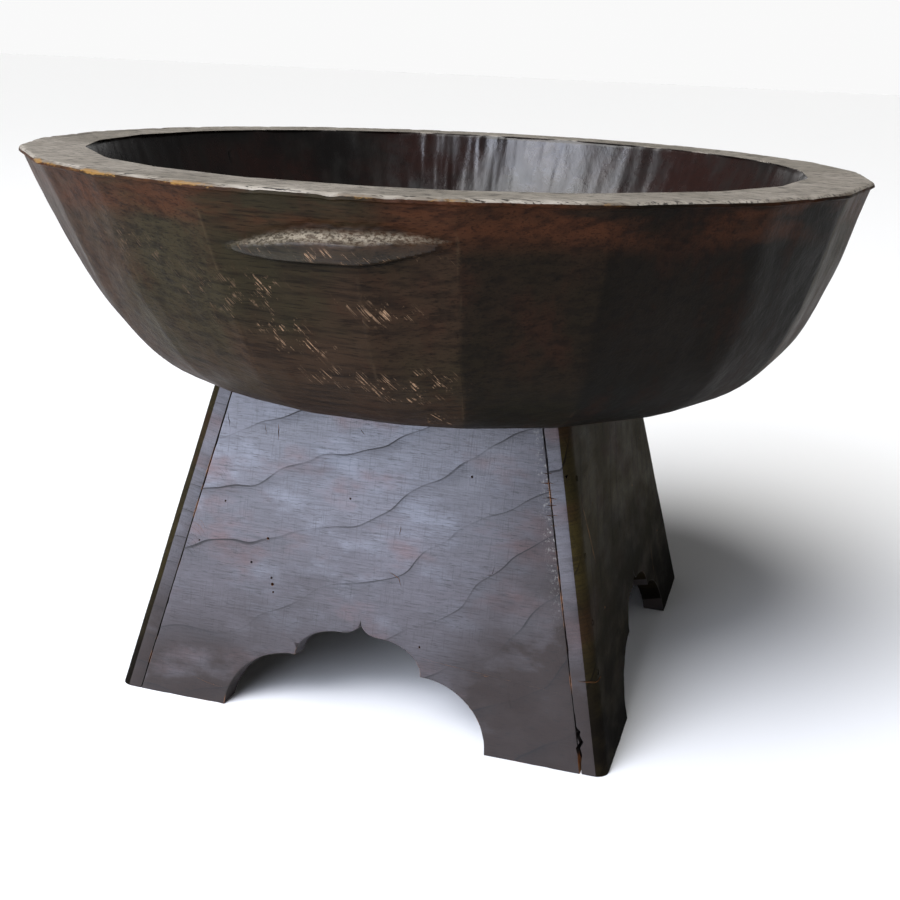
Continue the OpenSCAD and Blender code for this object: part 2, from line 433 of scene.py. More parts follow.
def height_of(place):
    """Height above the floor of a point in a board's own axes: along, up the slope, out."""
    return place.y * math.cos(LEAN) + place.z * math.sin(LEAN)


def arc(bm, centre, stretch, start, sweep, steps):
    """A stretch of the arch: part of an ellipse, as vertices joined by edges."""
    first = bm.verts.new((math.cos(start), math.sin(start), 0))
    before = len(bm.verts) - 1
    bmesh.ops.spin(bm, geom=[first], cent=(0, 0, 0), axis=(0, 0, 1), angle=sweep, steps=steps)
    bm.verts.ensure_lookup_table()
    made = bm.verts[before:]
    bmesh.ops.scale(bm, vec=(stretch[0], stretch[1] * SLANT, 1), verts=made)
    bmesh.ops.translate(bm, vec=(centre[0], centre[1] * SLANT, 0), verts=made)


def blank_board(covers_ends):
    """A board in its own axes, with its ends, foot and top cut to their planes."""
    bm = bmesh.new()
    for settings in ARCH_ARCS:
        arc(bm, *settings)
    inset = 0 if covers_ends else WALL_ACROSS + JOINT_GAP
    corners = [(ARCH_FOOT, 0), (BASE_HALF - inset, 0), (TOP_HALF - inset, STAND_Z * SLANT),
               (0, STAND_Z * SLANT)]
    verts = [bm.verts.new((*corner, 0)) for corner in corners]
    for pair in zip(verts, verts[1:]):
        bm.edges.new(pair)
    bmesh.ops.mirror(bm, geom=bm.verts[:] + bm.edges[:], matrix=Matrix.Identity(4),
                     merge_dist=0.01, axis="X")
    bmesh.ops.remove_doubles(bm, verts=bm.verts[:], dist=0.01)
    bmesh.ops.edgeloop_fill(bm, edges=bm.edges[:])
    made = bmesh.ops.extrude_face_region(bm, geom=bm.faces[:])["geom"]
    moved = [item for item in made if isinstance(item, bmesh.types.BMVert)]
    bmesh.ops.translate(bm, vec=(0, 0, -BOARD_T), verts=moved)
    bmesh.ops.recalc_face_normals(bm, faces=bm.faces[:])
    for vert in bm.verts:
        if vert.co.y > STAND_Z:
            vert.co.y = (STAND_Z - vert.co.z * math.sin(LEAN)) / math.cos(LEAN)
        if abs(vert.co.y) < 0.01:
            vert.co.y = -vert.co.z * math.tan(LEAN)
        if abs(vert.co.x) > ARCH_FOOT + 1:
            vert.co.x = math.copysign(half_at(height_of(vert.co)) - inset, vert.co.x)
    return bm


# %% [markdown]
# The upright outer corners of the stand have worn to a broad round, and the other edges to
# a small one. Bevel rounds them. The flat faces are then cut into a grid, so that they can
# be warped and dented a little, and the edges chipped, by moving vertices.

# %% Round, divide and wear a board
CORNER_ROUND, EDGE_ROUND, GRID = 8.5, 1.1, 4
FINISH, WORN_EDGE, RAW, END_FINISH = range(4)


def round_edges(bm, covers_ends):
    """Rounds the stand's outer corners broadly and every other sharp edge a little."""
    if covers_ends:
        corners = [edge for edge in bm.edges
                   if all(abs(vert.co.x) > half_at(height_of(vert.co)) - 0.1 and vert.co.z > -0.1
                          for vert in edge.verts) and abs(edge.verts[0].co.y - edge.verts[1].co.y) > 50]
        bmesh.ops.bevel(bm, geom=corners, offset=CORNER_ROUND, segments=7, profile=0.5,
                        affect="EDGES", material=-1, clamp_overlap=True)
    sharp = [edge for edge in bm.edges
             if len(edge.link_faces) == 2 and edge.calc_face_angle(0) > math.radians(50)]
    made = bmesh.ops.bevel(bm, geom=sharp, offset=EDGE_ROUND, segments=2, profile=0.5,
                           affect="EDGES", material=-1, clamp_overlap=True)
    for face in made["faces"]:
        face.material_index = WORN_EDGE


def cut_grid(bm):
    """Cuts the faces along upright planes, then along level ones."""
    across = [((number * GRID, 0, 0), (1, 0, 0)) for number in range(-41, 42)]
    level = [((0, number * GRID + 1.3, 0), (0, 1, 0)) for number in range(53)]
    for plane, normal in across + level:
        bmesh.ops.bisect_plane(bm, geom=bm.verts[:] + bm.edges[:] + bm.faces[:], dist=1e-3,
                               plane_co=plane, plane_no=normal)


def wear_board(bm, seed):
    """Warps and dents the faces and chips the edges."""
    bm.normal_update()
    for vert in bm.verts:
        place = vert.co
        edge = any(face.material_index == WORN_EDGE for face in vert.link_faces)
        dent = 0.3 * wear_noise(place.x / 38, place.y / 30, seed)
        dent += 0.1 * wear_noise(place.x / 7, place.y / 9, seed + 5)
        if edge:
            dent -= 0.6 * max(0, wear_noise(place.x / 11, place.y / 11, seed + place.z / 20) - 0.05)
            dent -= 0.3 * max(0, wear_noise(place.x / 4, place.y / 4, seed + 9))
        vert.co += vert.normal * (dent - 0.1)


def board_place(side):
    """From a board's own axes, in millimetres, to its place on a side of the stand."""
    return (Matrix.Rotation(QUARTER * side, 4, "Z") @ Matrix.Scale(MM, 4)
            @ Matrix.Translation((0, -BASE_HALF, 0)) @ Matrix.Rotation(QUARTER - LEAN, 4, "X"))


# %% [markdown]
# ## Splits, worm holes and nail holes
# Old boards open along the grain and at their joints, and beetles leave round holes. Each
# split is a jagged wedge: triangles strung along a path and bridged. All of a board's
# wedges, worm holes and nail holes are one cutter, and one Boolean takes them out.

# %% Cutters
def split(bm, place, path, width, depth, steps=9):
    """A wedge along a path on a board's face, widest in the middle."""
    rings = []
    ends = [Vector((*point, 0)) for point in path]
    for k in range(steps):
        share = k / (steps - 1)
        leg = min(int(share * (len(ends) - 1)), len(ends) - 2)
        spot = ends[leg].lerp(ends[leg + 1], share * (len(ends) - 1) - leg)
        across = (ends[leg + 1] - ends[leg]).normalized().cross(Vector((0, 0, 1)))
        spot += across * width * 0.8 * wear_noise(spot.x / 3, spot.y / 3, 8)
        gape = width * (0.12 + math.sin(math.pi * share) * (0.7 + 0.5 * wear_noise(k * 1.7, spot.x, 2)))
        corners = (spot + across * gape / 2 + Vector((0, 0, 1)),
                   spot - across * gape / 2 + Vector((0, 0, 1)),
                   spot - Vector((0, 0, depth * (0.35 + 0.65 * math.sin(math.pi * share)))))
        verts = [bm.verts.new(place @ corner) for corner in corners]
        rings.append([bm.edges.new((verts[i], verts[(i + 1) % 3])) for i in range(3)])
        if k in (0, steps - 1):
            bm.faces.new(verts)
    for first, second in zip(rings, rings[1:]):
        bmesh.ops.bridge_loops(bm, edges=first + second)


def hole(bm, place, spot, radius, depth, start=1.0, segments=9):
    """A round hole, square to a board's face."""
    turned = place @ Matrix.Translation((*spot, start - (depth + start) / 2))
    bmesh.ops.create_cone(bm, cap_ends=True, segments=segments, radius1=radius, radius2=radius,
                          depth=depth + start, matrix=turned)


NAIL_SHARES = (0.29, 0.43, 0.62, 0.84)
NAIL_HEAD_R, NAIL_R, NAIL_SUNK, NAIL_HEAD_T, NAIL_LONG = 1.7, 1.1, 0.8, 1.0, 38


def nail_spots():
    """Where the nails of a side board enter its face: along and up the slope."""
    for share in NAIL_SHARES:
        height = share * STAND_Z
        for hand in (-1, 1):
            yield hand * (half_at(height) - WALL_ACROSS / 2), height * SLANT


def nail_bores(bm, side):
    """The holes of a side board's nails: a sunk head and a shank."""
    for spot in nail_spots():
        hole(bm, board_place(side), spot, NAIL_HEAD_R + 0.15, NAIL_SUNK + NAIL_HEAD_T + 0.1)
        hole(bm, board_place(side), spot, NAIL_R + 0.1, NAIL_SUNK + NAIL_HEAD_T + NAIL_LONG + 0.3,
             start=-0.3)


FRONT, RIGHT, BACK, LEFT = range(4)
SPLITS = {
    FRONT: [([(-68, 187), (-67, 177)], 0.9, 3), ([(-104, 190), (-101.5, 181)], 0.8, 3),
            ([(-77, 186), (-76, 179)], 0.6, 2), ([(20, 134), (20, 126)], 0.8, 2),
            ([(14, 105), (22, 101), (24, 96)], 0.9, 2), ([(-13, 190), (-9, 187)], 0.8, 2),
            ([(82, 118), (81, 112), (77, 111)], 0.6, 2), ([(31, 54), (70, 51), (136, 46.5)], 0.6, 0.5),
            ([(80, 49.6), (87, 48.4)], 1.3, 0.5), ([(98, 44), (103, 30)], 0.5, 0.4),
            ([(-140, 22), (-100, 12), (-88, 11)], 0.6, 0.4), ([(-20, 60), (20, 57)], 0.4, 0.3)],
    RIGHT: [([(-117, 162), (-111, 140), (-104, 107)], 0.9, 5),
            ([(-155, 57), (-146, 56), (-137, 55)], 0.9, 6), ([(70, 30), (74, 60)], 0.6, 3)],
    BACK: [([(60, 150), (64, 120)], 0.8, 3), ([(-90, 60), (-92, 35)], 0.8, 3),
           ([(10, 185), (12, 176)], 0.7, 2)],
    LEFT: [([(100, 160), (112, 110)], 0.8, 4), ([(-60, 190), (-57, 170)], 0.7, 3)],
}
OPEN_JOINT = [(143.2, 30), (145.6, 18), (150, -6)]
GNAWED = [(178, 6, 0.8), (172, 9, 1.0), (168, 5, 0.7), (163, 10, 1.1), (159, 7, 0.9), (153, 8, 0.8),
          (147, 5, 0.7)]
CHIP_LINE = [(140.5, 56.5), (153, 57)]
CHATTER = [(-129 + 1.1 * k, 100 + 3.4 * k) for k in range(7)]
CHATTER += [(-112 + k, 152 + 3.2 * k) for k in range(5)]
WORM_HOLES = {
    FRONT: [(-68, 113, 0.9), (-62, 84, 1.1), (-63, 88, 0.8), (-61, 79, 0.7), (-100, 133, 0.7),
            (-116, 105, 0.6), (-15, 146, 0.7), (-78, 96, 0.8), (40, 60, 0.7), (62, 170, 0.8)],
    RIGHT: [(-90, 150, 0.9), (-100, 84, 0.8), (40, 120, 0.8), (96, 140, 0.9), (110, 60, 0.7)],
    BACK: [(-40, 150, 0.9), (20, 120, 0.8), (72, 90, 1.0), (90, 60, 0.7), (-80, 130, 0.8)],
    LEFT: [(-70, 60, 0.9), (20, 140, 0.8), (64, 110, 0.9), (-100, 100, 0.7)],
}


def cut(bm, cutter_bm):
    """Takes a cutter out of a bmesh and returns the result as a new bmesh."""
    meshes = []
    for source in (bm, cutter_bm):
        bmesh.ops.recalc_face_normals(source, faces=source.faces[:])
        mesh = bpy.data.meshes.new("working")
        source.to_mesh(mesh)
        source.free()
        meshes.append(mesh)
    body, tool = [bpy.data.objects.new("working", mesh) for mesh in meshes]
    for item in (body, tool):
        bpy.context.scene.collection.objects.link(item)
        for number in range(4):
            item.data.materials.append(None)
    change = body.modifiers.new("cut", "BOOLEAN")
    change.object, change.operation, change.solver = tool, "DIFFERENCE", "EXACT"
    change.use_self = True
    result = bmesh.new()
    result.from_object(body, bpy.context.evaluated_depsgraph_get())
    for item, mesh in zip((body, tool), meshes):
        bpy.data.objects.remove(item)
        bpy.data.meshes.remove(mesh)
    return result


def board_cutter(side):
    """Everything that is taken out of one board, as one mesh."""
    cutter = bmesh.new()
    place = board_place(side)
    for path, width, depth in SPLITS[side]:
        split(cutter, place, path, width, depth)
    for along, up, radius in WORM_HOLES[side]:
        hole(cutter, place, (along, up), radius, 3)
    if side == FRONT:
        for along, up in CHATTER:
            split(cutter, place, [(along, up), (along + 7, up - 3), (along + 12, up - 9)], 0.7, 0.45, 5)
    if side in (FRONT, RIGHT):
        front = board_place(FRONT)
        split(cutter, front, OPEN_JOINT, 4.2, 11, steps=12)
        split(cutter, front, CHIP_LINE, 1.0, 6)
        for up, long, width in GNAWED:
            middle = half_at(up / SLANT) - WALL_ACROSS
            split(cutter, front, [(middle - long * 0.55, up), (middle + long * 0.45, up + 0.7)],
                  width, 2.5, steps=6)
    for face in cutter.faces:
        face.material_index = RAW
    before = len(cutter.faces)
    if side in (RIGHT, LEFT):
        nail_bores(cutter, side)
    else:
        nail_bores(cutter, RIGHT)
        nail_bores(cutter, LEFT)
    cutter.faces.ensure_lookup_table()
    for face in cutter.faces[before:]:
        face.material_index = FINISH
    return cutter


# %% [markdown]
# ## Finish of the bowl's outside
# The outside is dark hardwood that has been oiled and handled for years. Some facets are
# olive and others red-brown, and each facet's tone is set lighter on the left and near black
# on the right, which is painted light and shade. A red band runs under the rim, and short
# slanting scratches show pale wood where the bowl was rubbed. Noise stretched along the
# grain gives fibres and pores, and numbers stored on the mesh say where each kind of wear
# lies, where the facets' painted light and shade goes, and where painted shade darkens the
# grips' undercuts.

# %% Outside finish
RED_BAND = (0.316, 0.334)
SCRATCH_LEAN = 0.69
for stored_number_name in ("facet_painted_light_and_shade", "ridge", "edge_wear", "rubbed", "ledge", "dirt_and_painted_shade"):
    NODES[stored_number_name] = ("Attribute", {"attribute_name": stored_number_name}, (), "Fac")


def bowl_wall_finish(name, smoothest, roughest, level):
    """Dark oiled hardwood, hewn in facets: olive and red-brown patches, painted light and shade facet
    by facet and in the grips' undercuts, pale rubbed marks.
    """
    material, tree, shader = new_material(name)
    coords = add_node(tree, "place")
    painted_facet_light = add_node(tree, "facet_painted_light_and_shade")
    patches = streaks(tree, coords, (9, 9, 7), 5)
    mottle = streaks(tree, coords, (34, 34, 20), 6, 0.68)
    fibres = streaks(tree, coords, (25, 260, 260), 4, 0.6)
    pores = streaks(tree, coords, (90, 1200, 1200), 2)
    base = add_node(tree, "mix", add_node(tree, "step", patches, 0.38, 0.62), "#080704", "#110d08")
    warm = add_node(tree, "mix", add_node(tree, "step", patches, 0.4, 0.6), "#2d2719", "#33251a")
    # Painted light and shade: each facet's tone mixes the dark wood towards olive, lighter on the left
    # and near black on the right.
    base = add_node(tree, "mix", painted_facet_light, base, warm)
    base = add_node(tree, "mix", add_node(tree, "step", mottle, 0.5, 0.68, 0, 0.36), base, "#2b170f")
    height = add_node(tree, "z", coords)
    band = add_node(tree, "multiply", add_node(tree, "step", height, *RED_BAND),
                    add_node(tree, "step", streaks(tree, coords, (14, 14, 60), 4), 0.36, 0.6, 0, 0.8))
    base = add_node(tree, "mix", band, base, "#3a2012")
    base = add_node(tree, "mix", add_node(tree, "step", fibres, 0.4, 0.7, 0, 0.6), base, "#080605")
    base = add_node(tree, "mix", add_node(tree, "step", pores, 0.54, 0.66, 0, 0.5), base, "#040302")
    ridge = add_node(tree, "multiply", add_node(tree, "step", add_node(tree, "ridge"), 0.7, 1),
                     add_node(tree, "step", mottle, 0.48, 0.66, 0, 0.09))
    base = add_node(tree, "mix", ridge, base, "#7c6a52")
    crumbs = streaks(tree, coords, (420, 620, 900), 4, 0.75)
    torn = add_node(tree, "multiply", add_node(tree, "ledge"),
                    add_node(tree, "step", crumbs, 0.43, 0.56, 0.2, 1))
    base = add_node(tree, "mix", torn, base, "#7c7364")
    slant = streaks(tree, add_node(tree, "turned", coords, SCRATCH_LEAN), (1300, 60, 75), 2, 0.5)
    clusters = streaks(tree, coords, (120, 90, 120), 4, 0.7)
    marks = add_node(tree, "multiply", add_node(tree, "step", slant, 0.54, 0.62),
                     add_node(tree, "step", clusters, 0.5, 0.6))
    rubbed = add_node(tree, "step", add_node(tree, "rubbed"), 0.08, 0.7)
    marks = add_node(tree, "multiply", marks, rubbed, use_clamp=True)
    base = add_node(tree, "mix", marks, base, "#7f6650")
    edge = add_node(tree, "edge_wear")
    bare = add_node(tree, "add", edge, streaks(tree, coords, (130, 130, 420), 6, 0.85))
    base = add_node(tree, "mix", add_node(tree, "step", bare, 1.12, 1.24), base, "#6f532c")
    # Painted shade: near black in the undercut under each grip.
    base = add_node(tree, "mix", add_node(tree, "dirt_and_painted_shade"), base, "#050403")
    tree.links.new(base, shader.inputs["Base Color"])
    shine = add_node(tree, "add", add_node(tree, "step", mottle, 0.3, 0.7, smoothest, roughest),
                     add_node(tree, "multiply", marks, 0.3))
    tree.links.new(shine, shader.inputs["Roughness"])
    shader.inputs["IOR"].default_value = 1.5
    shader.inputs["Specular IOR Level"].default_value = level
    first = add_node(tree, "bump", fibres, 0.00025)
    second = add_node(tree, "bump", mottle, 0.0007, first)
    third = add_node(tree, "bump", add_node(tree, "subtract", pores, marks), 0.00015, second)
    tree.links.new(third, shader.inputs["Normal"])
    return material


outside_wood = bowl_wall_finish("oiled hardwood hewn outside", 0.42, 0.6, 0.045)
grip_wood = bowl_wall_finish("oiled hardwood, handled grip", 0.26, 0.42, 0.14)
print("outside finishes:", outside_wood.name, "and", grip_wood.name)

# %% [markdown]
# ## Finishes of the rim and the hollow
# The rim's top has dried and greyed, with open pores, and its edge has worn to ochre in
# places. The hollow is red-black and glossy from oil and use, with soft gouge ripples
# that break up its shine.

# %% Rim and hollow finishes
def rim_finish():
    """The rim's top, greyed and dried by handling, with pores and fine checks."""
    material, tree, shader = new_material("dry grey hardwood rim")
    coords = add_node(tree, "place")
    fibres = streaks(tree, coords, (22, 420, 420), 5, 0.65)
    checks = streaks(tree, coords, (110, 800, 800), 3, 0.6)
    patches = streaks(tree, coords, (16, 16, 16), 4)
    base = add_node(tree, "mix", add_node(tree, "step", patches, 0.35, 0.65), "#7f786c", "#9a9286")
    base = add_node(tree, "mix", add_node(tree, "step", fibres, 0.3, 0.7, 0, 0.5), base, "#524a40")
    base = add_node(tree, "mix", add_node(tree, "step", checks, 0.55, 0.6, 0, 0.95), base, "#1f1a15")
    edge = add_node(tree, "edge_wear")
    base = add_node(tree, "mix", add_node(tree, "step", edge, 0.35, 0.65, 0, 0.75), base, "#4d4235")
    worn = add_node(tree, "add", edge, streaks(tree, coords, (130, 130, 420), 6, 0.85))
    base = add_node(tree, "mix", add_node(tree, "step", worn, 1.14, 1.26), base, "#6f532c")
    tree.links.new(base, shader.inputs["Base Color"])
    shader.inputs["Roughness"].default_value = 0.62
    shader.inputs["Specular IOR Level"].default_value = 0.35
    first = add_node(tree, "bump", fibres, 0.0003)
    sunk = add_node(tree, "multiply", add_node(tree, "step", checks, 0.6, 0.7), -1)
    second = add_node(tree, "bump", sunk, 0.0004, first)
    tree.links.new(second, shader.inputs["Normal"])
    return material


def hollow_finish():
    """The gouged hollow, red-black and glossy from oil and use."""
    material, tree, shader = new_material("glossy hardwood hollow")
    coords = add_node(tree, "place")
    patches = streaks(tree, coords, (11, 11, 20), 5, 0.6)
    mottle = streaks(tree, coords, (40, 40, 26), 5, 0.65)
    fibres = streaks(tree, coords, (30, 330, 330), 3, 0.6)
    base = add_node(tree, "mix", add_node(tree, "step", patches, 0.36, 0.64), "#0a0706", "#1f0e0a")
    base = add_node(tree, "mix", add_node(tree, "step", mottle, 0.42, 0.7, 0, 0.6), base, "#15120e")
    base = add_node(tree, "mix", add_node(tree, "step", fibres, 0.4, 0.7, 0, 0.3), base, "#0b0807")
    tree.links.new(base, shader.inputs["Base Color"])
    shine = add_node(tree, "step", mottle, 0.3, 0.7, 0.22, 0.36)
    tree.links.new(shine, shader.inputs["Roughness"])
    shader.inputs["IOR"].default_value = 1.5
    first = add_node(tree, "bump", mottle, 0.0008)
    tree.links.new(add_node(tree, "bump", fibres, 0.00006, first), shader.inputs["Normal"])
    return material


rim_wood, hollow_wood = rim_finish(), hollow_finish()
print("rim and hollow finishes:", rim_wood.name, "and", hollow_wood.name)

# %% [markdown]
# ## Finish of the boards
# The boards were stained dark and waxed. The wax has bloomed grey-blue on the front board,
# and the bloom is partly painted sheen and painted lighter towards the top as painted light.
# Each board is darker towards its foot, its lower right is darkened as painted shade, and
# dust is caught in the joint on the right.
# Growth lines sweep up to the right: they are bands drawn on a height from which a curve
# and some noise have been taken. A board's pattern follows its own axes, which are stored
# on its mesh, so every board differs. The side boards are the same wood without the bloom.

# %% Board finishes
RING_SCALE, RING_BEND, RING_WANDER = 7.4, 1.3, 0.062
GLOSS_SPREAD = 0.06


def board_finish(name, colours, gloss, growth_slope, level, low_right_shade_strength):
    """Stained board: flowing growth lines, fibres, cross scratches, a darker foot, painted shade to the
    lower right, and a bloom of old wax that is partly painted sheen and painted lighter towards the
    top.
    """
    deep, light, bloom, stain, line_colour, foot_and_shade_colour = colours
    material, tree, shader = new_material(name)
    coords = add_node(tree, "board place")
    broad = streaks(tree, coords, (7, 12, 7), 4)
    patches = streaks(tree, coords, (22, 40, 22), 5, 0.6)
    fibres = streaks(tree, coords, (36, 800, 60), 5, 0.65)
    hatch = streaks(tree, coords, (1000, 50, 60), 3, 0.6)
    pores = streaks(tree, coords, (150, 1500, 1500), 2, 0.6)
    along, up = [add_node(tree, axis, coords) for axis in "xy"]
    slope = add_node(tree, "add", add_node(tree, "multiply", along, RING_BEND), growth_slope)
    rise = add_node(tree, "multiply", along, slope)
    wander = add_node(tree, "multiply", streaks(tree, coords, (10, 13, 10), 2, 0.5), RING_WANDER)
    drawn = add_node(tree, "add", add_node(tree, "subtract", up, rise), wander)
    rings = add_node(tree, "rings", add_node(tree, "upward", drawn), RING_SCALE, 0)
    aside = add_node(tree, "step", add_node(tree, "size", along), 0.01, 0.15)
    height = add_node(tree, "z", add_node(tree, "place"))
    # Painted shade: the board darkens towards its lower right, most on the front board; it also darkens
    # towards the foot.
    painted_shade_low_right = add_node(tree, "step", add_node(tree, "subtract", along, up), -0.26, 0.04, 0.1, low_right_shade_strength)
    darker_foot_and_painted_shade = add_node(tree, "add", add_node(tree, "step", height, 0.0, 0.13, 0.75, 0.0),
                    add_node(tree, "multiply", aside, painted_shade_low_right))
    darker_foot_and_painted_shade = add_node(tree, "multiply", darker_foot_and_painted_shade, add_node(tree, "step", patches, 0.3, 0.6, 0.6, 1),
                    use_clamp=True)
    base = add_node(tree, "mix", add_node(tree, "step", broad, 0.32, 0.66), deep, light)
    # Wax bloom in patches, and painted light: the bloom grows towards the top of the board.
    bloom_and_painted_light = add_node(tree, "add", add_node(tree, "step", patches, 0.45, 0.7, 0, 0.6),
                       add_node(tree, "step", height, 0.08, 0.19, 0, 0.4))
    base = add_node(tree, "mix", bloom_and_painted_light, base, bloom)
    stains = streaks(tree, coords, (13, 24, 9), 4, 0.6)
    base = add_node(tree, "mix", add_node(tree, "step", stains, 0.5, 0.68, 0, 0.75), base, stain)
    base = add_node(tree, "mix", add_node(tree, "step", fibres, 0.42, 0.7, 0, 0.45), base, line_colour)
    base = add_node(tree, "mix", add_node(tree, "step", hatch, 0.54, 0.72, 0, 0.35), base, line_colour)
    base = add_node(tree, "mix", darker_foot_and_painted_shade, base, foot_and_shade_colour)
    late = add_node(tree, "larger", add_node(tree, "step", rings, 0.68, 1.0, 0, 0.32),
                    add_node(tree, "step", rings, 0.95, 0.988, 0, 0.95))
    strength = add_node(tree, "step", streaks(tree, coords, (14, 26, 14), 3), 0.38, 0.6, 0.25, 1)
    late = add_node(tree, "multiply", late, strength)
    base = add_node(tree, "mix", late, base, line_colour)
    base = add_node(tree, "mix", add_node(tree, "step", pores, 0.56, 0.68, 0, 0.6), base, line_colour)
    joint = (BASE_HALF - BOARD_T) * MM
    across = add_node(tree, "add", along, add_node(tree, "multiply", up, math.sin(LEAN)))
    before_joint = add_node(tree, "step", across, joint - 0.011, joint - 0.0005, 0, 0.8)
    past_joint = add_node(tree, "step", across, joint + 0.012, joint + 0.05, 1, 0)
    near_joint = add_node(tree, "multiply", add_node(tree, "multiply", before_joint, past_joint),
                          add_node(tree, "step", height, 0.07, 0.13))
    specks = streaks(tree, coords, (520, 380, 300), 6, 0.85)
    dust = add_node(tree, "multiply", near_joint, add_node(tree, "step", specks, 0.55, 0.6))
    base = add_node(tree, "mix", dust, base, "#85837f")
    tree.links.new(base, shader.inputs["Base Color"])
    dull = add_node(tree, "multiply", add_node(tree, "larger", darker_foot_and_painted_shade, late), 0.35)
    shine = add_node(tree, "add", dull, add_node(tree, "step", patches, 0.3, 0.7,
                                                 gloss - GLOSS_SPREAD, gloss + GLOSS_SPREAD))
    tree.links.new(shine, shader.inputs["Roughness"])
    shader.inputs["IOR"].default_value = 1.5
    shader.inputs["Specular IOR Level"].default_value = level
    first = add_node(tree, "bump", fibres, 0.00022)
    second = add_node(tree, "bump", hatch, 0.00018, first)
    tree.links.new(add_node(tree, "bump", patches, 0.0006, second), shader.inputs["Normal"])
    return material


# Colours: deep, light, wax bloom, stain, growth lines, and the darker foot with the painted shade.
# The front board's grey-lilac colours are partly its wax bloom and partly the window's sheen painted
# into the colour: painted sheen.
FRONT_COLOURS = ("#343036", "#4d4a52", "#6e717b", "#553a3a", "#0f0d10", "#211816")
SIDE_COLOURS = ("#1c170a", "#382f14", "#2c2610", "#2f1d0f", "#080604", "#0d0a06")
front_wood = board_finish("stained board, wax bloom and painted sheen", FRONT_COLOURS, 0.42, 0.54, 0.45, 1)
end_wood = board_finish("stained board, end grain", FRONT_COLOURS, 0.42, 0.54, 0.45, 0.5)
side_wood = board_finish("stained board, olive brown", SIDE_COLOURS, 0.6, 0.1, 0.06, 0.35)
print("board finishes:", front_wood.name, end_wood.name, side_wood.name, sep=", ")

# %% [markdown]
# ## Bare wood and iron
# Edges that rubbed and places that split show the wood's own tan under the stain, and
# dirt has settled in them. The nails are iron, rusted nearly black.

# %% Bare wood and iron finishes
def bare_finish(name, dark, light, dark_share):
    """Wood laid bare where the stain has rubbed or split away."""
    material, tree, shader = new_material(name)
    coords = add_node(tree, "place")
    fibres = streaks(tree, coords, (160, 160, 160), 4, 0.7)
    # Dirt settled in the bare wood, in random patches.
    dirt_and_painted_shade = streaks(tree, coords, (34, 34, 34), 4, 0.6)
    base = add_node(tree, "mix", add_node(tree, "step", fibres, 0.35, 0.65), light, dark)
    clean = add_node(tree, "step", dirt_and_painted_shade, dark_share - 0.06, dark_share + 0.06)
    base = add_node(tree, "mix", clean, "#17110d", base)
    tree.links.new(base, shader.inputs["Base Color"])
    shader.inputs["Roughness"].default_value = 0.7
    tree.links.new(add_node(tree, "bump", fibres, 0.0003), shader.inputs["Normal"])
    return material


def iron_finish():
    """Hand-made iron nails, rusted nearly black: a rough metal under brown oxide."""
    material, tree, shader = new_material("rusted iron")
    coords = add_node(tree, "place")
    rust = streaks(tree, coords, (400, 400, 400), 4, 0.6)
    base = add_node(tree, "mix", add_node(tree, "step", rust, 0.4, 0.62), "#2b2624", "#4a2c1c")
    tree.links.new(base, shader.inputs["Base Color"])
    tree.links.new(add_node(tree, "step", rust, 0.4, 0.62, 0.85, 0.2), shader.inputs["Metallic"])
    shader.inputs["Roughness"].default_value = 0.6
    tree.links.new(add_node(tree, "bump", rust, 0.0003), shader.inputs["Normal"])
    return material


edge_wood = bare_finish("stained board, rubbed edge", "#4a2d1a", "#8a5c38", 0.58)
raw_wood = bare_finish("split wood, bare", "#5c3a20", "#9a6a3c", 0.48)
nail_iron = iron_finish()
print("finishes:", [material.name for material in bpy.data.materials])

# %% [markdown]
# ## Finish the bowl
# Six numbers are stored on each vertex for the wall's finish: a tone for each facet, set
# lighter on the left and darker on the right as painted light and shade, how near a ridge
# is, how worn the rim's edge is, how rubbed the wall is, where a grip's dry ledge is, and
# the painted shade in the undercut under it. The rubbed places are where hands and floors
# have touched it: below the front grip and on the lower wall. The front grip's face is
# glossier than the wall, because hands have polished it.

# %% Bowl piece
# A rubbed place: direction in degrees, depth below the rim, width, height and strength.
RUBBED_SPOTS = [(-95, 52, 2.5, 10, 0.7), (-94.6, 71, 4, 6, 1.0), (-92, 81, 5, 6, 0.8),
                (-84, 54, 3, 5, 0.5), (-80, 60, 4, 7, 0.7), (-88, 99, 6, 6, 0.75),
                (-80, 103, 5, 8, 1.0), (-76, 97, 4, 7, 0.9), (-76, 120, 3, 8, 1.0),
                (-85, 31, 10, 3.5, 1.0), (-100, 60, 12, 20, 0.35), (-115, 40, 12, 20, 0.3),
                (60, 100, 12, 12, 0.9), (80, 60, 9, 14, 0.8), (150, 80, 14, 14, 0.8),
                (10, 110, 12, 10, 0.8), (95.5, 30, 12, 3, 1.0)]
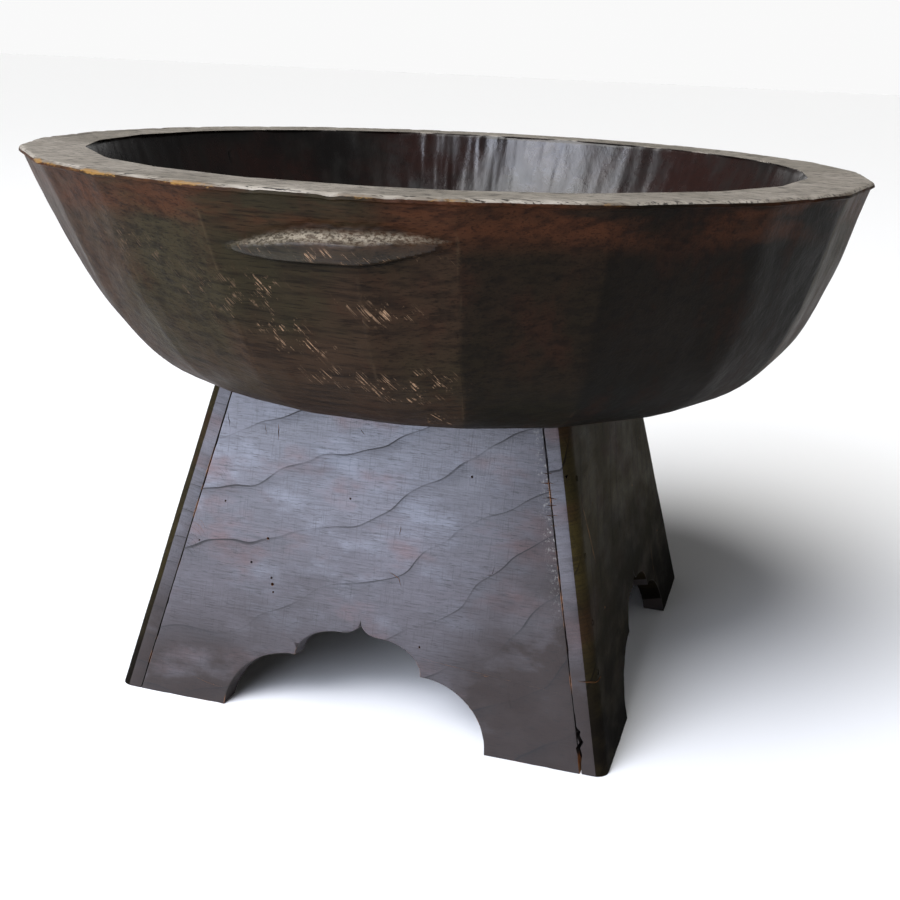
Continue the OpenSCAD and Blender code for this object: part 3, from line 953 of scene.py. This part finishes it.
# Tone of each facet from the first ridge round: lighter on the left, darker on the right, as painted
# light and shade.
FACET_PAINTED_LIGHT_AND_SHADE = [0.8, 0.62, 0.55, 0.2, 0.02, 0.06, 0.95, 0.5, 0.3, 0.55, 0.35,
               0.6, 0.45, 0.25, 0.5, 0.7, 0.4, 0.65, 0.5, 0.75, 0.85, 0.9]
EDGE_MIDDLE, EDGE_SPREAD = -140, 48
bowl = finish_piece(bowl_bm, "bowl_carving", [outside_wood, rim_wood, hollow_wood, grip_wood],
                    "bowl", ["bowl"], sharp=40)
painted_facet_shading, ridges, edges_worn, rubs, ledges, undercut_painted_shades = [], [], [], [], [], []
for vert in bowl.data.vertices:
    x, y, z = (value / MM for value in vert.co)
    depth = rim_z - z
    drift = depth / BOWL_DROP
    radius = math.hypot(x - DRIFT_X * drift, y - DRIFT_Y * drift)
    angle = math.degrees(math.atan2(y - DRIFT_Y * drift, x - DRIFT_X * drift))
    turn = (angle - FIRST_RIDGE) % 360
    number = 0
    while turn >= FACETS[number]:
        turn -= FACETS[number]
        number += 1
    part = turn / FACETS[number]
    painted_facet_shading.append(FACET_PAINTED_LIGHT_AND_SHADE[number])
    near = min(part, 1 - part) * math.radians(FACETS[number]) * radius
    ridges.append(max(0, 1 - near / 5) * min(1, radius / 150))
    worn_here = 0.68 + 0.34 * lobe(math.radians(angle), EDGE_MIDDLE, EDGE_SPREAD)
    worn_here += 0.12 * wear_noise(angle / 9, 4, 8)
    edges_worn.append(worn_here * max(0, 1 - math.hypot(depth - 1, RIM_R - 1 - radius) / 5))
    ledge = dirt_and_painted_shade = 0
    for grip in GRIP_ANGLES:
        arc_place = math.radians((angle - grip + 180) % 360 - 180) * radius
        along = min(1, abs(arc_place) / GRIP_HALF)
        down = (depth - grip_middle(arc_place)) / grip_half_height(along)
        if along < 1 and depth < 45:
            ledge = max(ledge, (1 - along ** 3) * max(0, 1 - abs(down + 0.6) / 0.42))
            # Painted shade in the undercut under the grip.
            dirt_and_painted_shade = max(dirt_and_painted_shade, (1 - along ** 3) * max(0, 1 - abs(down - 1.08) / 0.22))
    ledges.append(ledge)
    undercut_painted_shades.append(dirt_and_painted_shade)
    rub = 0
    for spot_angle, spot_depth, wide, high, strength in RUBBED_SPOTS:
        away = ((angle - spot_angle + 180) % 360 - 180) / wide
        rub = max(rub, strength * math.exp(-away ** 2 - ((depth - spot_depth) / high) ** 2))
    rubs.append(rub)
for name, values in (("facet_painted_light_and_shade", painted_facet_shading), ("ridge", ridges), ("edge_wear", edges_worn),
                     ("rubbed", rubs), ("ledge", ledges), ("dirt_and_painted_shade", undercut_painted_shades)):
    set_attribute(bowl.data, name, values)
for face in bowl.data.polygons:
    x, y, z = face.center / MM
    arc_place = (math.degrees(math.atan2(y, x)) - GRIP_ANGLES[0]) * math.radians(RIM_R)
    if abs(arc_place) < GRIP_HALF * 0.9 and face.material_index == WALL:
        half_height = grip_half_height(abs(arc_place) / GRIP_HALF)
        if -0.3 < (rim_z - z - grip_middle(arc_place)) / half_height < 0.95:
            face.material_index = GRIP_FACE
print("rubbed places:", len(RUBBED_SPOTS), "facets toned:", len(FACET_PAINTED_LIGHT_AND_SHADE))

# %% [markdown]
# ## Make the four boards
# The front and back boards stop between the side boards, whose ends show at the corners.
# A board's own axes are stored on its vertices after it is in place, and shifted a little
# more for each board, so that no two boards show the same figure.

# %% Boards
BOARD_SEED, END_NORMAL, BOARD_SHIFT = 17.3, 0.955, (0.7, 0.31, 0)
BOARDS = [("front_plank", FRONT, "front_board"), ("right_plank", RIGHT, "right_board"),
          ("back_plank", BACK, "back_board"), ("left_plank", LEFT, "left_board")]
for name, side, node in BOARDS:
    covers_ends = side in (RIGHT, LEFT)
    board_bm = blank_board(covers_ends)
    round_edges(board_bm, covers_ends)
    cut_grid(board_bm)
    wear_board(board_bm, side * BOARD_SEED)
    if covers_ends:
        for face in board_bm.faces:
            if abs(face.normal.x) > END_NORMAL:
                face.material_index = END_FINISH
    place = board_place(side)
    bmesh.ops.transform(board_bm, matrix=place, verts=board_bm.verts[:])
    for vert in board_bm.verts:
        vert.co.z = max(vert.co.z, 0)
    board_bm = cut(board_bm, board_cutter(side))
    wood = side_wood if covers_ends else front_wood
    piece = finish_piece(board_bm, name, [wood, edge_wood, raw_wood, end_wood], "stand", [node])
    back_to_axes = Matrix.Scale(MM, 4) @ place.inverted()
    shift = Vector(BOARD_SHIFT) * side
    data = piece.data.attributes.new("board_axes", "FLOAT_VECTOR", "POINT").data
    data.foreach_set("vector", [value for vert in piece.data.vertices
                                for value in back_to_axes @ vert.co + shift])

# %% [markdown]
# ## Nails
# Sixteen hand-made nails hold the stand, four at each corner, driven through the side
# boards into the ends of the others. Each starts as a cone for the shank and a short one
# for the head, which is knocked out of round with seeded random moves.

# %% Nails
nail_rng = random.Random(5)
NAIL_SETS = [("front_right_nail_set", RIGHT, -1, "front_right_nails"),
             ("back_right_nail_set", RIGHT, 1, "back_right_nails"),
             ("back_left_nail_set", LEFT, -1, "back_left_nails"),
             ("front_left_nail_set", LEFT, 1, "front_left_nails")]
for name, side, hand, node in NAIL_SETS:
    nails_bm = bmesh.new()
    for along, up in nail_spots():
        if along * hand < 0:
            continue
        head = board_place(side) @ Matrix.Translation((along, up, -NAIL_SUNK - NAIL_HEAD_T / 2))
        made = bmesh.ops.create_cone(nails_bm, cap_ends=True, segments=11, radius1=NAIL_HEAD_R,
                                     radius2=NAIL_HEAD_R * 0.8, depth=NAIL_HEAD_T, matrix=head)
        for vert in made["verts"]:
            vert.co += Vector([nail_rng.uniform(-0.12, 0.12) * MM for _ in range(3)])
        shank = board_place(side) @ Matrix.Translation(
            (along, up, -NAIL_SUNK - NAIL_HEAD_T - NAIL_LONG / 2 + 0.2))
        bmesh.ops.create_cone(nails_bm, cap_ends=True, segments=8, radius1=0.3, radius2=NAIL_R,
                              depth=NAIL_LONG, matrix=shank)
    bmesh.ops.recalc_face_normals(nails_bm, faces=nails_bm.faces[:])
    finish_piece(nails_bm, name, [nail_iron], "stand", [node])

# %% [markdown]
# ## Floor and light
# The bowl stands on a plain pale floor. A broad cool window light fills the front, a small
# high one shines into the hollow, and a soft sun comes from above. The sky is bright only
# near the horizon, which keeps the dark wood from greying.

# %% Floor, lights and sky
def area_light(name, place, aim, width, height, power, colour):
    light = bpy.data.lights.new(name, "AREA")
    light.shape, light.size, light.size_y = "RECTANGLE", width, height
    light.energy, light.color = power, linear(colour)[:3]
    holder = bpy.data.objects.new(name, light)
    bpy.context.scene.collection.objects.link(holder)
    holder.location = place
    holder.rotation_euler = (Vector(aim) - Vector(place)).to_track_quat("-Z", "Y").to_euler()
    holder.visible_camera = False


floor_bm = bmesh.new()
bmesh.ops.create_grid(floor_bm, x_segments=8, y_segments=8, size=30)
floor_mesh = bpy.data.meshes.new("floor")
floor_bm.to_mesh(floor_mesh)
floor_bm.free()
floor = bpy.data.objects.new("floor", floor_mesh)
bpy.context.scene.collection.objects.link(floor)
floor_material, floor_tree, floor_shader = new_material("matt pale floor paint")
floor_shader.inputs["Base Color"].default_value = linear("#f4f4f4")
floor_shader.inputs["Roughness"].default_value = 0.9
floor_shader.inputs["Specular IOR Level"].default_value = 0.1
floor_mesh.materials.append(floor_material)

area_light("window", (-1.25, -2.25, 0.82), (0, 0, 0.25), 2.5, 1.5, 93, "#e3eafc")
area_light("high window", (-0.75, -1.75, 1.75), (0, 0.1, 0.3), 1.5, 0.7, 30, "#e3eafc")
sun = bpy.data.lights.new("high soft sun", "SUN")
sun.energy, sun.angle = 3.3, math.radians(50)
sun_holder = bpy.data.objects.new("high soft sun", sun)
bpy.context.scene.collection.objects.link(sun_holder)
sun_holder.rotation_euler = Vector((0.32, 0.38, -0.87)).to_track_quat("-Z", "Y").to_euler()

world = bpy.data.worlds.new("sky")
bpy.context.scene.world = world
world.use_nodes = True
sky = world.node_tree
upward = add_node(sky, "z", add_node(sky, "direction"))
backdrop = sky.nodes["Background"]
sky.links.new(add_node(sky, "step", upward, 0.05, 0.16, 0.95, 0.12), backdrop.inputs["Strength"])
backdrop.inputs["Color"].default_value = linear("#ffffff")
bpy.context.scene.view_settings.view_transform = "Standard"
print("lights:", [light.name for light in bpy.data.lights])
